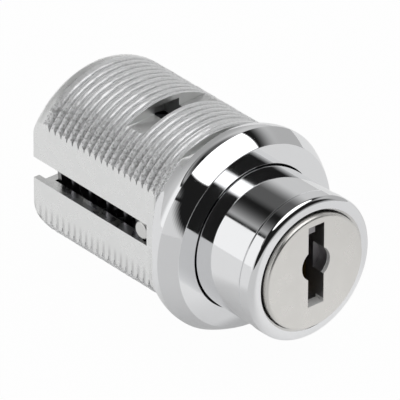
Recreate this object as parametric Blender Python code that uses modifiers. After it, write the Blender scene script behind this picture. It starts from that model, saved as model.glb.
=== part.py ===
"""Pushbutton cabinet lock with a wafer core, an M22 x 1 barrel and a round rear bolt.

The lock axis lies along Y and the button faces -Y. X points right and Z points up for
someone who looks at the keyway. The origin is on the axis, 7.9 mm behind the front face of
the collar, where the threaded barrel begins.

Lengths are in millimetres. A station is a distance along the axis from the origin,
positive towards the button, so a station s lies at world y = -s. Turned pieces are drawn
with their local Z towards the front, and flat pieces are drawn as the front shows them.
"""

import math

import bmesh
import bpy
from mathutils import Matrix, Vector

MM = 0.001

# Fits between the pieces
RUNNING_GAP = 0.1
SEAT_GAP = 0.2
WALL_GAP = 0.15

# Core: the keyed plug, with its flange at the front
CORE_RADIUS = 6.45
CORE_FLANGE_LIP = 0.45
CORE_FACE_CHAMFER = 0.35
CORE_PROUD = 0.6
TAIL_RADIUS = 3.0
CLIP_GROOVE_RADIUS = 2.4
CLIP_LIP = 0.4
CRANK_PIN_RADIUS = 0.6
CRANK_PIN_ROOT = 0.3
CLIP_THICKNESS = 0.5
CLIP_RADIUS = 4.2
CLIP_MOUTH_ANGLE = 70.0

# Keyway, with a round hole for the key's post and a small ward in its top corner
KEYWAY_WIDTH = 2.25
KEYWAY_CENTRE_X = 0.1
KEYWAY_TOP_WALL = 0.53
KEYWAY_BOTTOM_WALL = 2.33
KEYWAY_END_WALL = 0.7
KEY_POST_HOLE_RADIUS = 2.0
KEY_POST_HOLE_DEPTH = 1.8
KEY_POST_HOLE_RISE = 0.15
WARD_WIDTH = 1.45
WARD_HEIGHT = 1.2
WARD_INSET = 0.6

# Wafers and their springs
WAFER_COUNT = 5
WAFER_FRONT_WALL = 1.3
WAFER_REAR_WALL = 0.9
WAFER_THICKNESS = 0.6
WAFER_SHOULDER = 2.5
WAFER_THROW = 0.5
WAFER_WINDOW_WIDTH = 2.5
WAFER_WINDOW_BRIDGE = 2.6
WAFER_CUTS = (0.0, 0.4, -0.4, 0.2, -0.2)
WAFER_LUG_INSET = 0.95
WAFER_LUG_HEIGHT = 0.9
WAFER_LUG_ROOT = 0.2
WAFER_SPRING_RADIUS = 0.5
WAFER_SPRING_WIRE = 0.2
WAFER_SPRING_TURNS = 3
WAFER_SPRING_HOLE_WALL = 0.3
WAFER_GROOVE_DEPTH = 0.55

# Cylinder body, which carries the core, the tab and the bolt
BODY_WALL = 1.05
BODY_PARTITION = 1.2
BODY_CHAMBER_RADIUS = 4.6
BODY_EDGE = 0.2
BODY_PIN_WALL = 0.55

# Button sleeve
BUTTON_REACH = 9.5
SLEEVE_WALL = 0.7
SLEEVE_INSET = 0.4
SLEEVE_LIP = 1.0
SLEEVE_LIP_GAP = 0.3
SLEEVE_MOUTH_GAP = 0.16
SLEEVE_RIM_SWELL = 0.1
SLEEVE_RIM_LENGTH = 2.0
SLEEVE_RIM_TAPER = 0.3
SLEEVE_EDGE_ROUND = 0.6

# Housing: collar, threaded barrel and rear nose
COLLAR_LENGTH = 7.9
COLLAR_RADIUS = 12.14
COLLAR_EDGE_STATION = 5.7
COLLAR_EDGE_BAND = 0.3
COLLAR_FACE_INSET = 1.15
COLLAR_BEVEL_CROWN = 0.07
COLLAR_NECK_STEP = 0.05
COLLAR_NECK_STATION = 1.2
THREAD_RADIUS = 11.0
THREAD_LENGTH = 17.4
RELIEF_DEPTH = 0.1
RELIEF_WIDTH = 0.75
NOSE_LENGTH = 2.0
NOSE_ROUND = 1.05
FLAT_WALL = 1.25
FLAT_EXIT = 0.1
REAR_LIP = 1.65
REAR_RECESS_DEPTH = 1.1
REAR_WALL = 1.0
BOLT_HOLE_GAP = 0.8
BUTTON_BORE_SLACK = 0.3

# Cross pin and the side slots in which its ends run
PIN_STATION = -1.05
PIN_RADIUS = 1.1
PIN_INSET = 0.15
PIN_END_ROUND = 0.35
SLOT_SIDE_GAP = 0.22

# Locking tab, its channel along the bore and the two windows that it locks into
STROKE = 8.4
TAB_STATION = 3.0
TAB_THICKNESS = 1.2
TAB_HALF_WIDTH = 3.2
TAB_FOOT = -3.9
TAB_SHOULDER_DEPTH = 2.5
TAB_CORNER = 0.3
TAB_THROW = 1.8
TAB_TOP_INSET = 0.1
CHANNEL_HALF_WIDTH = 1.75
CHANNEL_ROOF = 0.7
CHANNEL_RUN_OUT = 2.5
WINDOW_DEPTH = 1.6
BARREL_WINDOW_FRONT_GAP = 0.33
BARREL_WINDOW_REAR_GAP = 1.1

# Bolt, return spring and its washer
BOLT_RADIUS = 4.5
BOLT_INSET = 0.3
BOLT_CHAMFER = 0.5
SPIGOT_RADIUS = 2.5
SPIGOT_NECK = 0.75
WASHER_THICKNESS = 0.6
WASHER_SIDE_GAP = 0.3
WASHER_HOLE_GAP = 0.5
SPRING_SIDE_GAP = 0.55
SPRING_WIRE = 0.8
SPRING_TURNS = 3.5

# Facets of the round pieces
HOUSING_SEGMENTS = 60
SLEEVE_SEGMENTS = 44
BODY_SEGMENTS = 40
SMALL_SEGMENTS = 16
FLARE_STEPS = 7
FLAT_CURVE_STEPS = 6
BEVEL_STEPS = 3
NOSE_STEPS = 4
ROUND_STEPS = 4
WAFER_ARC_STEPS = 8
CLIP_STEPS = 16
SPRING_STEPS_PER_TURN = 15
WAFER_SPRING_STEPS_PER_TURN = 8
CUT_BEYOND = 1.0
MERGE_DISTANCE = 0.000005

# Radii that follow from the core outwards and from the thread inwards
CORE_FLANGE_RADIUS = CORE_RADIUS + CORE_FLANGE_LIP
BODY_BORE_RADIUS = CORE_RADIUS + RUNNING_GAP
BODY_RADIUS = BODY_BORE_RADIUS + BODY_WALL
MAIN_BORE_RADIUS = BODY_RADIUS + WALL_GAP
SLEEVE_BORE_RADIUS = BODY_RADIUS + SEAT_GAP
SLEEVE_RADIUS = SLEEVE_BORE_RADIUS + SLEEVE_WALL
SLEEVE_MOUTH_RADIUS = CORE_FLANGE_RADIUS + SLEEVE_MOUTH_GAP
BUTTON_BORE_RADIUS = SLEEVE_RADIUS + WALL_GAP
FLAT_HALF_WIDTH = MAIN_BORE_RADIUS + FLAT_WALL
NOSE_RADIUS = THREAD_RADIUS - NOSE_ROUND
REAR_RECESS_RADIUS = NOSE_RADIUS - REAR_LIP
COLLAR_NECK_RADIUS = THREAD_RADIUS + COLLAR_NECK_STEP
COLLAR_FACE_RADIUS = COLLAR_RADIUS - COLLAR_FACE_INSET
WINDOW_FLOOR = THREAD_RADIUS - WINDOW_DEPTH
CHANNEL_TOP = THREAD_RADIUS - CHANNEL_ROOF
WASHER_RADIUS = MAIN_BORE_RADIUS - WASHER_SIDE_GAP
SPRING_MEAN_RADIUS = MAIN_BORE_RADIUS - SPRING_SIDE_GAP - SPRING_WIRE / 2
PIN_REACH = FLAT_HALF_WIDTH - PIN_INSET
SLOT_HALF_HEIGHT = PIN_RADIUS + SLOT_SIDE_GAP
BOLT_HOLE_RADIUS = BOLT_RADIUS + BOLT_HOLE_GAP
SPIGOT_HOLE_RADIUS = SPIGOT_RADIUS + RUNNING_GAP
TAB_TONGUE_HALF_WIDTH = CHANNEL_HALF_WIDTH - SEAT_GAP
TAB_TOP = BODY_RADIUS - TAB_TOP_INSET
TAB_SHOULDER = TAB_TOP - TAB_SHOULDER_DEPTH

# Stations from the button's front rearwards
SLEEVE_FRONT_STATION = COLLAR_LENGTH + BUTTON_REACH
SLEEVE_REAR_STATION = COLLAR_LENGTH - SLEEVE_INSET
CORE_FACE_STATION = SLEEVE_FRONT_STATION + CORE_PROUD
BODY_FRONT_STATION = SLEEVE_FRONT_STATION - SLEEVE_LIP - SLEEVE_LIP_GAP
CORE_FLANGE_REAR = BODY_FRONT_STATION + SEAT_GAP
BUTTON_BORE_END = SLEEVE_REAR_STATION - STROKE - BUTTON_BORE_SLACK

# Stations from the tab forwards
TAB_FRONT = TAB_STATION + TAB_THICKNESS / 2
TAB_BACK = TAB_STATION - TAB_THICKNESS / 2
CHAMBER_BACK = TAB_BACK - SEAT_GAP
TAIL_REAR_STATION = TAB_FRONT + SEAT_GAP
CLIP_STATION = TAIL_REAR_STATION + CLIP_LIP + CLIP_THICKNESS / 2
PARTITION_BACK = CLIP_STATION + CLIP_THICKNESS / 2 + SEAT_GAP
PARTITION_FRONT = PARTITION_BACK + BODY_PARTITION
CORE_REAR_STATION = PARTITION_FRONT + SEAT_GAP
KEYWAY_REAR_STATION = CORE_REAR_STATION + KEYWAY_END_WALL
CRANK_PIN_REAR_STATION = TAB_BACK + RUNNING_GAP
CRANK_OFFSET = TAB_THROW / 2
CRANK_RADIUS = math.hypot(CRANK_OFFSET, CRANK_OFFSET)
COLLAR_WINDOW_FRONT = TAB_FRONT + SEAT_GAP
COLLAR_WINDOW_REAR = TAB_BACK - SEAT_GAP
BARREL_WINDOW_FRONT = TAB_FRONT - STROKE + BARREL_WINDOW_FRONT_GAP
BARREL_WINDOW_REAR = TAB_BACK - STROKE - BARREL_WINDOW_REAR_GAP
CHANNEL_REAR = BARREL_WINDOW_REAR - CHANNEL_RUN_OUT

# Stations from the cross pin rearwards
SLOT_FRONT_STATION = PIN_STATION + PIN_RADIUS + RUNNING_GAP
BODY_REAR_STATION = PIN_STATION - PIN_RADIUS - BODY_PIN_WALL
SPIGOT_FRONT_STATION = PIN_STATION + PIN_RADIUS + SPIGOT_NECK
HOUSING_REAR_STATION = -(THREAD_LENGTH + NOSE_LENGTH)
REAR_WALL_BACK = HOUSING_REAR_STATION + REAR_RECESS_DEPTH
REAR_WALL_FRONT = REAR_WALL_BACK + REAR_WALL
WASHER_BACK = REAR_WALL_FRONT + SEAT_GAP
WASHER_FRONT = WASHER_BACK + WASHER_THICKNESS
BOLT_REAR_STATION = HOUSING_REAR_STATION + BOLT_INSET

# Wafers, spread evenly between the walls at both ends of the core
WAFER_SLOT_HALF = WAFER_THICKNESS / 2 + RUNNING_GAP
WAFER_FRONT_STATION = CORE_FLANGE_REAR - WAFER_FRONT_WALL - WAFER_SLOT_HALF
WAFER_REAR_STATION = CORE_REAR_STATION + WAFER_REAR_WALL + WAFER_SLOT_HALF
WAFER_PITCH = (WAFER_FRONT_STATION - WAFER_REAR_STATION) / (WAFER_COUNT - 1)

# Places inside the core
KEYWAY_TOP = CORE_RADIUS - KEYWAY_TOP_WALL
KEYWAY_BOTTOM = KEYWAY_BOTTOM_WALL - CORE_RADIUS
KEYWAY_LEFT = KEYWAY_CENTRE_X - KEYWAY_WIDTH / 2
KEYWAY_RIGHT = KEYWAY_CENTRE_X + KEYWAY_WIDTH / 2
KEYWAY_MIDDLE_Z = (KEYWAY_TOP + KEYWAY_BOTTOM) / 2
WAFER_WINDOW_HEIGHT = KEYWAY_TOP - KEYWAY_BOTTOM - WAFER_WINDOW_BRIDGE
WAFER_HALF_WIDTH = CORE_RADIUS - WAFER_SHOULDER
WAFER_LUG_REACH = CORE_RADIUS - WAFER_LUG_INSET
WAFER_SPRING_HOLE_RADIUS = WAFER_SPRING_RADIUS + WAFER_SPRING_WIRE / 2 + WALL_GAP
WAFER_SPRING_X = WAFER_HALF_WIDTH + WAFER_SPRING_HOLE_RADIUS + RUNNING_GAP
WAFER_SPRING_TOP = math.sqrt(
    (CORE_RADIUS - WAFER_SPRING_HOLE_WALL) ** 2 - (WAFER_SPRING_X + WAFER_SPRING_HOLE_RADIUS) ** 2)

FRONT_UP = Matrix.Rotation(math.pi / 2, 4, "X")
SIDE_UP = Matrix.Rotation(math.pi / 2, 4, "Y")


def clear_scene():
    for item in list(bpy.data.objects):
        bpy.data.objects.remove(item)


def new_collection(name):
    collection = bpy.data.collections.new(name)
    bpy.context.scene.collection.children.link(collection)
    return collection


def new_material(name, colour, roughness, metallic):
    material = bpy.data.materials.new(name)
    material.use_nodes = True
    shader = material.node_tree.nodes["Principled BSDF"]
    shader.inputs["Base Color"].default_value = (*colour, 1.0)
    shader.inputs["Roughness"].default_value = roughness
    shader.inputs["Metallic"].default_value = metallic
    material.diffuse_color = (*colour, 1.0)
    return material


clear_scene()
PARTS = new_collection("pushbutton_cabinet_lock")
CUTTERS = new_collection("cutters")

CHROME = new_material("bright_chrome", (0.82, 0.83, 0.84), 0.06, 1.0)
NICKEL = new_material("satin_nickel", (0.66, 0.65, 0.62), 0.3, 1.0)
ZINC = new_material("cast_zinc", (0.55, 0.55, 0.54), 0.45, 1.0)
STEEL = new_material("steel", (0.6, 0.6, 0.6), 0.3, 1.0)
BRASS = new_material("brass", (0.72, 0.58, 0.3), 0.35, 1.0)
SPRING_STEEL = new_material("spring_steel", (0.45, 0.45, 0.46), 0.3, 1.0)


def place(name, data, material, matrix=Matrix.Identity(4)):
    """Put a piece into the model, with its own material."""
    item = bpy.data.objects.new(name, data)
    PARTS.objects.link(item)
    data.materials.append(material)
    item.matrix_world = matrix
    return item


def outline_mesh(name, points, closed):
    mesh = bpy.data.meshes.new(name)
    verts = [(radius * MM, 0.0, station * MM) for radius, station in points]
    edges = [(i, i + 1) for i in range(len(points) - 1)]
    if closed:
        edges.append((len(points) - 1, 0))
    mesh.from_pydata(verts, edges, [])
    return mesh


def turned(name, points, material, segments, matrix=FRONT_UP, closed=True):
    """Turn a profile of (radius, station) points, front to rear down its outer side."""
    item = place(name, outline_mesh(name, points, closed), material, matrix)
    screw = item.modifiers.new("turn", "SCREW")
    screw.axis = "Z"
    screw.angle = 2 * math.pi
    screw.steps = segments
    screw.render_steps = segments
    screw.use_merge_vertices = True
    screw.merge_threshold = MERGE_DISTANCE
    screw.use_smooth_shade = True
    return item


def cutter(name, mesh):
    item = bpy.data.objects.new(name, mesh)
    CUTTERS.objects.link(item)
    item.hide_render = True
    item.display_type = "WIRE"
    return item


def box_mesh(name, x_range, station_range, z_range):
    low = Vector((x_range[0], -station_range[1], z_range[0])) * MM
    high = Vector((x_range[1], -station_range[0], z_range[1])) * MM
    size = high - low
    mesh = bpy.data.meshes.new(name)
    shape = bmesh.new()
    matrix = Matrix.Translation((low + high) / 2) @ Matrix.Diagonal((*size, 1.0))
    bmesh.ops.create_cube(shape, size=1.0, matrix=matrix)
    shape.to_mesh(mesh)
    shape.free()
    return mesh


def rod_mesh(name, radius, start, end):
    """A plain cylinder between two (x, station, z) points."""
    first = Vector((start[0], -start[1], start[2])) * MM
    last = Vector((end[0], -end[1], end[2])) * MM
    along = last - first
    turn = Vector((0, 0, 1)).rotation_difference(along).to_matrix().to_4x4()
    mesh = bpy.data.meshes.new(name)
    shape = bmesh.new()
    bmesh.ops.create_cone(
        shape, cap_ends=True, segments=SMALL_SEGMENTS, radius1=radius * MM, radius2=radius * MM,
        depth=along.length, matrix=Matrix.Translation((first + last) / 2) @ turn)
    shape.to_mesh(mesh)
    shape.free()
    return mesh


def combine(item, tool, operation="DIFFERENCE"):
    step = item.modifiers.new(tool.name, "BOOLEAN")
    step.operation = operation
    step.solver = "EXACT"
    step.object = tool


def prism_mesh(name, outline, z_range):
    """A solid between two heights, over a closed outline of (x, station) points."""
    count = len(outline)
    verts = [(x * MM, -station * MM, z * MM) for z in z_range for x, station in outline]
    faces = [(i, (i + 1) % count, count + (i + 1) % count, count + i) for i in range(count)]
    faces += [tuple(range(count)), tuple(range(count, 2 * count))]
    mesh = bpy.data.meshes.new(name)
    mesh.from_pydata(verts, [], faces)
    shape = bmesh.new()
    shape.from_mesh(mesh)
    bmesh.ops.recalc_face_normals(shape, faces=shape.faces)
    shape.to_mesh(mesh)
    shape.free()
    return mesh


def cut_box(item, name, x_range, station_range, z_range):
    combine(item, cutter(name, box_mesh(name, x_range, station_range, z_range)))


def cut_rod(item, name, radius, start, end):
    combine(item, cutter(name, rod_mesh(name, radius, start, end)))


def arc(centre, radius, start, end, steps):
    """Points of an arc, with its angles in degrees from the first axis."""
    points = []
    for i in range(steps + 1):
        angle = math.radians(start + (end - start) * i / steps)
        points.append((centre[0] + radius * math.cos(angle), centre[1] + radius * math.sin(angle)))
    return points


def plate(name, outlines, station, thickness, material, lift=0.0):
    """A flat piece across the axis: outlines of (x, z) points, the first round the others."""
    curve = bpy.data.curves.new(name, "CURVE")
    curve.dimensions = "2D"
    curve.fill_mode = "BOTH"
    curve.extrude = thickness / 2 * MM
    for outline in outlines:
        spline = curve.splines.new("POLY")
        spline.points.add(len(outline) - 1)
        for point, (x, z) in zip(spline.points, outline):
            point.co = (x * MM, z * MM, 0.0, 1.0)
        spline.use_cyclic_u = True
    matrix = Matrix.Translation(Vector((0, -station, lift)) * MM) @ FRONT_UP
    return place(name, curve, material, matrix)


def coil(name, points, wire, material):
    curve = bpy.data.curves.new(name, "CURVE")
    curve.dimensions = "3D"
    curve.bevel_depth = wire / 2 * MM
    curve.bevel_resolution = 2
    curve.use_fill_caps = True
    spline = curve.splines.new("POLY")
    spline.points.add(len(points) - 1)
    for point, (x, y, z) in zip(spline.points, points):
        point.co = (x * MM, y * MM, z * MM, 1.0)
    return place(name, curve, material)


def collar_bevel():
    """The slightly crowned bevel from the collar's front face to its widest ring."""
    points = []
    for i in range(BEVEL_STEPS + 1):
        share = i / BEVEL_STEPS
        crown = 4 * share * (1 - share) * COLLAR_BEVEL_CROWN
        radius = COLLAR_FACE_RADIUS + (COLLAR_RADIUS - COLLAR_FACE_RADIUS) * share
        station = COLLAR_LENGTH + (COLLAR_EDGE_STATION - COLLAR_LENGTH) * share
        points.append((radius + crown, station))
    return points


def collar_flare():
    """The collar narrows from its widest ring to its neck in a smooth double curve."""
    front = COLLAR_EDGE_STATION - COLLAR_EDGE_BAND
    points = []
    for i in range(FLARE_STEPS + 1):
        share = i / FLARE_STEPS
        swell = (1 + math.cos(math.pi * share)) / 2
        radius = COLLAR_NECK_RADIUS + (COLLAR_RADIUS - COLLAR_NECK_RADIUS) * swell
        points.append((radius, front + (COLLAR_NECK_STATION - front) * share))
    return points


def rear_nose():
    """The rounded end of the barrel, behind the last turn of the thread."""
    points = []
    for i in range(NOSE_STEPS + 1):
        angle = math.pi / 2 * i / NOSE_STEPS
        radius = NOSE_RADIUS + (THREAD_RADIUS - NOSE_RADIUS) * math.cos(angle)
        points.append((radius, -THREAD_LENGTH - NOSE_LENGTH * math.sin(angle)))
    return points


def flat_outline(side):
    """What a side flat takes away: level along the barrel, then curving out under the collar."""
    front = COLLAR_EDGE_STATION - COLLAR_EDGE_BAND
    outside = COLLAR_RADIUS + CUT_BEYOND
    beyond = HOUSING_REAR_STATION - CUT_BEYOND
    points = [(outside, beyond), (FLAT_HALF_WIDTH, beyond)]
    for i in range(FLAT_CURVE_STEPS + 1):
        share = i / FLAT_CURVE_STEPS
        swell = (1 - math.cos(math.pi * share)) / 2
        reach = FLAT_HALF_WIDTH + (COLLAR_RADIUS + FLAT_EXIT - FLAT_HALF_WIDTH) * swell
        points.append((reach, COLLAR_NECK_STATION + (front - COLLAR_NECK_STATION) * share))
    points.append((outside, front))
    return [(side * x, station) for x, station in points]


def make_housing():
    relief_radius = THREAD_RADIUS - RELIEF_DEPTH
    relief_rear = COLLAR_NECK_STATION - RELIEF_WIDTH
    profile = [(BUTTON_BORE_RADIUS, COLLAR_LENGTH)]
    profile += collar_bevel()
    profile += collar_flare()
    profile += [
        (relief_radius, COLLAR_NECK_STATION), (relief_radius, relief_rear), (THREAD_RADIUS, relief_rear)]
    profile += rear_nose()
    profile += [
        (REAR_RECESS_RADIUS, HOUSING_REAR_STATION), (REAR_RECESS_RADIUS, REAR_WALL_BACK),
        (BOLT_HOLE_RADIUS, REAR_WALL_BACK), (BOLT_HOLE_RADIUS, REAR_WALL_FRONT),
        (MAIN_BORE_RADIUS, REAR_WALL_FRONT), (MAIN_BORE_RADIUS, BUTTON_BORE_END),
        (BUTTON_BORE_RADIUS, BUTTON_BORE_END)]
    housing = turned("housing", profile, CHROME, HOUSING_SEGMENTS)
    outside = COLLAR_RADIUS + CUT_BEYOND
    beyond = HOUSING_REAR_STATION - CUT_BEYOND
    inside = MAIN_BORE_RADIUS - CUT_BEYOND
    for name, side in (("left_flat", -1), ("right_flat", 1)):
        combine(housing, cutter(name, prism_mesh(name, flat_outline(side), (-outside, outside))))
    cut_box(housing, "side_slots", (-outside, outside), (beyond, SLOT_FRONT_STATION),
            (-SLOT_HALF_HEIGHT, SLOT_HALF_HEIGHT))
    cut_box(housing, "barrel_window", (-outside, outside), (BARREL_WINDOW_REAR, BARREL_WINDOW_FRONT),
            (WINDOW_FLOOR, outside))
    cut_box(housing, "tab_channel", (-CHANNEL_HALF_WIDTH, CHANNEL_HALF_WIDTH),
            (CHANNEL_REAR, BARREL_WINDOW_FRONT), (inside, CHANNEL_TOP))
    cut_box(housing, "collar_window", (-outside, outside), (COLLAR_WINDOW_REAR, COLLAR_WINDOW_FRONT),
            (WINDOW_FLOOR, outside))
    cut_box(housing, "tab_hole", (-CHANNEL_HALF_WIDTH, CHANNEL_HALF_WIDTH),
            (COLLAR_WINDOW_REAR, COLLAR_WINDOW_FRONT), (inside, CHANNEL_TOP))
    return housing


def make_sleeve():
    rim_radius = SLEEVE_RADIUS + SLEEVE_RIM_SWELL
    rim_rear = SLEEVE_FRONT_STATION - SLEEVE_RIM_LENGTH
    lip_rear = SLEEVE_FRONT_STATION - SLEEVE_LIP
    centre = (rim_radius - SLEEVE_EDGE_ROUND, SLEEVE_FRONT_STATION - SLEEVE_EDGE_ROUND)
    profile = [(SLEEVE_MOUTH_RADIUS, SLEEVE_FRONT_STATION)]
    profile += arc(centre, SLEEVE_EDGE_ROUND, 90, 0, ROUND_STEPS)
    profile += [
        (rim_radius, rim_rear), (SLEEVE_RADIUS, rim_rear - SLEEVE_RIM_TAPER),
        (SLEEVE_RADIUS, SLEEVE_REAR_STATION), (SLEEVE_BORE_RADIUS, SLEEVE_REAR_STATION),
        (SLEEVE_BORE_RADIUS, lip_rear), (SLEEVE_MOUTH_RADIUS, lip_rear)]
    return turned("button_sleeve", profile, CHROME, SLEEVE_SEGMENTS)


def wafer_station(index):
    return WAFER_FRONT_STATION - index * WAFER_PITCH


def wafer_side(index):
    """Wafers face alternate ways, so that neighbouring springs lie on opposite sides."""
    return 1 if index % 2 == 0 else -1


def make_cylinder_body():
    groove = CORE_RADIUS + WAFER_GROOVE_DEPTH + RUNNING_GAP
    half_groove = WAFER_THICKNESS / 2 + SEAT_GAP
    tail_bore = TAIL_RADIUS + RUNNING_GAP
    profile = [
        (BODY_BORE_RADIUS, BODY_FRONT_STATION), (BODY_RADIUS - BODY_EDGE, BODY_FRONT_STATION),
        (BODY_RADIUS, BODY_FRONT_STATION - BODY_EDGE), (BODY_RADIUS, BODY_REAR_STATION + BODY_EDGE),
        (BODY_RADIUS - BODY_EDGE, BODY_REAR_STATION),
        (SPIGOT_HOLE_RADIUS, BODY_REAR_STATION), (SPIGOT_HOLE_RADIUS, CHAMBER_BACK),
        (BODY_CHAMBER_RADIUS, CHAMBER_BACK), (BODY_CHAMBER_RADIUS, PARTITION_BACK),
        (tail_bore, PARTITION_BACK), (tail_bore, PARTITION_FRONT), (BODY_BORE_RADIUS, PARTITION_FRONT)]
    for index in reversed(range(WAFER_COUNT)):
        station = wafer_station(index)
        profile += [
            (BODY_BORE_RADIUS, station - half_groove), (groove, station - half_groove),
            (groove, station + half_groove), (BODY_BORE_RADIUS, station + half_groove)]
    body = turned("cylinder_body", profile, ZINC, BODY_SEGMENTS)
    outside = BODY_RADIUS + CUT_BEYOND
    tab_side = TAB_HALF_WIDTH + WALL_GAP
    cut_box(body, "tab_slot", (-tab_side, tab_side), (CHAMBER_BACK, TAB_FRONT + SEAT_GAP),
            (TAB_FOOT - WALL_GAP, outside))
    clip_side = CLIP_RADIUS + WALL_GAP
    clip_half = CLIP_THICKNESS / 2 + WALL_GAP
    cut_box(body, "clip_slot", (-clip_side, clip_side), (CLIP_STATION - clip_half, CLIP_STATION + clip_half),
            (-outside, 0.0))
    cut_rod(body, "body_pin_hole", PIN_RADIUS + RUNNING_GAP, (-outside, PIN_STATION, 0),
            (outside, PIN_STATION, 0))
    return body


def cut_keyway(core):
    """The keyway with its ward, which stands a little behind the face, and the round post hole."""
    front = CORE_FACE_STATION + CUT_BEYOND
    keyway = cutter("keyway", box_mesh("keyway", (KEYWAY_LEFT, KEYWAY_RIGHT), (KEYWAY_REAR_STATION, front),
                                       (KEYWAY_BOTTOM, KEYWAY_TOP)))
    cut_box(keyway, "ward", (KEYWAY_LEFT - CUT_BEYOND, KEYWAY_LEFT + WARD_WIDTH),
            (KEYWAY_REAR_STATION - CUT_BEYOND, CORE_FACE_STATION - WARD_INSET),
            (KEYWAY_TOP - WARD_HEIGHT, KEYWAY_TOP + CUT_BEYOND))
    combine(core, keyway)
    post_z = KEYWAY_MIDDLE_Z + KEY_POST_HOLE_RISE
    cut_rod(core, "key_post_hole", KEY_POST_HOLE_RADIUS,
            (KEYWAY_CENTRE_X, CORE_FACE_STATION - KEY_POST_HOLE_DEPTH, post_z),
            (KEYWAY_CENTRE_X, front, post_z))


def cut_wafer_slot(core, index):
    """The slot of one wafer, with room for its lug and the blind hole of its spring."""
    station = wafer_station(index)
    side = wafer_side(index)
    number = str(index + 1)
    across = (station - WAFER_SLOT_HALF, station + WAFER_SLOT_HALF)
    reach = WAFER_HALF_WIDTH + WALL_GAP
    outside = CORE_RADIUS + CUT_BEYOND
    cut_box(core, "wafer_slot_" + number, (-reach, reach), across, (-outside, outside))
    lug_x = sorted((side * (WAFER_HALF_WIDTH - WAFER_LUG_ROOT), side * (WAFER_LUG_REACH + WALL_GAP)))
    lug_z = sorted((-side * outside, side * (2 * WAFER_THROW + WALL_GAP)))
    cut_box(core, "lug_slot_" + number, lug_x, across, lug_z)
    cut_rod(core, "spring_hole_" + number, WAFER_SPRING_HOLE_RADIUS,
            (side * WAFER_SPRING_X, station, -side * outside),
            (side * WAFER_SPRING_X, station, side * WAFER_SPRING_TOP))


def make_core():
    groove_front = CLIP_STATION + CLIP_THICKNESS / 2 + RUNNING_GAP
    groove_rear = CLIP_STATION - CLIP_THICKNESS / 2 - RUNNING_GAP
    centre = (CORE_FLANGE_RADIUS - CORE_FACE_CHAMFER, CORE_FACE_STATION - CORE_FACE_CHAMFER)
    profile = [(0.0, CORE_FACE_STATION)]
    profile += arc(centre, CORE_FACE_CHAMFER, 90, 0, ROUND_STEPS)
    profile += [
        (CORE_FLANGE_RADIUS, CORE_FLANGE_REAR), (CORE_RADIUS, CORE_FLANGE_REAR),
        (CORE_RADIUS, CORE_REAR_STATION), (TAIL_RADIUS, CORE_REAR_STATION), (TAIL_RADIUS, groove_front),
        (CLIP_GROOVE_RADIUS, groove_front), (CLIP_GROOVE_RADIUS, groove_rear), (TAIL_RADIUS, groove_rear),
        (TAIL_RADIUS, TAIL_REAR_STATION), (0.0, TAIL_REAR_STATION)]
    core = turned("lock_core", profile, NICKEL, BODY_SEGMENTS, closed=False)
    crank = rod_mesh("crank_pin", CRANK_PIN_RADIUS, (-CRANK_OFFSET, CRANK_PIN_REAR_STATION, -CRANK_OFFSET),
                     (-CRANK_OFFSET, TAIL_REAR_STATION + CRANK_PIN_ROOT, -CRANK_OFFSET))
    combine(core, cutter("crank_pin", crank), "UNION")
    cut_keyway(core)
    for index in range(WAFER_COUNT):
        cut_wafer_slot(core, index)
    return core


def make_wafer(index):
    """A disc cut to the slot's width, with a window for the key and a lug for its spring."""
    side = wafer_side(index)
    radius = CORE_RADIUS - RUNNING_GAP
    corner = math.degrees(math.acos(WAFER_HALF_WIDTH / radius))
    outline = arc((0, 0), radius, corner, 180 - corner, WAFER_ARC_STEPS)
    outline += arc((0, 0), radius, 180 + corner, 360 - corner, WAFER_ARC_STEPS)
    outline += [
        (WAFER_HALF_WIDTH, -WAFER_LUG_HEIGHT), (WAFER_LUG_REACH, -WAFER_LUG_HEIGHT),
        (WAFER_LUG_REACH, 0.0), (WAFER_HALF_WIDTH, 0.0)]
    outline = [(side * x, side * z) for x, z in outline]
    left = KEYWAY_CENTRE_X - WAFER_WINDOW_WIDTH / 2
    right = KEYWAY_CENTRE_X + WAFER_WINDOW_WIDTH / 2
    middle = KEYWAY_MIDDLE_Z + WAFER_CUTS[index]
    low = middle - WAFER_WINDOW_HEIGHT / 2
    high = middle + WAFER_WINDOW_HEIGHT / 2
    window = [(left, low), (left, high), (right, high), (right, low)]
    return plate("wafer_%d" % (index + 1), [outline, window], wafer_station(index), WAFER_THICKNESS,
                 BRASS, lift=-side * WAFER_THROW)


def make_wafer_spring(index):
    """A small coil between the wafer's lug and the end of its hole."""
    side = wafer_side(index)
    inset = WAFER_SPRING_WIRE / 2 + WALL_GAP
    start = -WAFER_THROW + inset
    length = WAFER_SPRING_TOP - inset - start
    steps = WAFER_SPRING_TURNS * WAFER_SPRING_STEPS_PER_TURN
    points = []
    for i in range(steps + 1):
        angle = 2 * math.pi * i / WAFER_SPRING_STEPS_PER_TURN
        rise = start + length * i / steps
        points.append((side * (WAFER_SPRING_X + WAFER_SPRING_RADIUS * math.cos(angle)),
                       -wafer_station(index) + WAFER_SPRING_RADIUS * math.sin(angle), side * rise))
    return coil("wafer_spring_%d" % (index + 1), points, WAFER_SPRING_WIRE, SPRING_STEEL)


def make_clip():
    """An open ring that is pushed into the groove of the core's tail from below."""
    half = CLIP_MOUTH_ANGLE / 2
    outline = arc((0, 0), CLIP_RADIUS, -90 + half, 270 - half, CLIP_STEPS)
    outline += arc((0, 0), CLIP_GROOVE_RADIUS + RUNNING_GAP, 270 - half, -90 + half, CLIP_STEPS)
    return plate("core_clip", [outline], CLIP_STATION, CLIP_THICKNESS, SPRING_STEEL)


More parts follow.
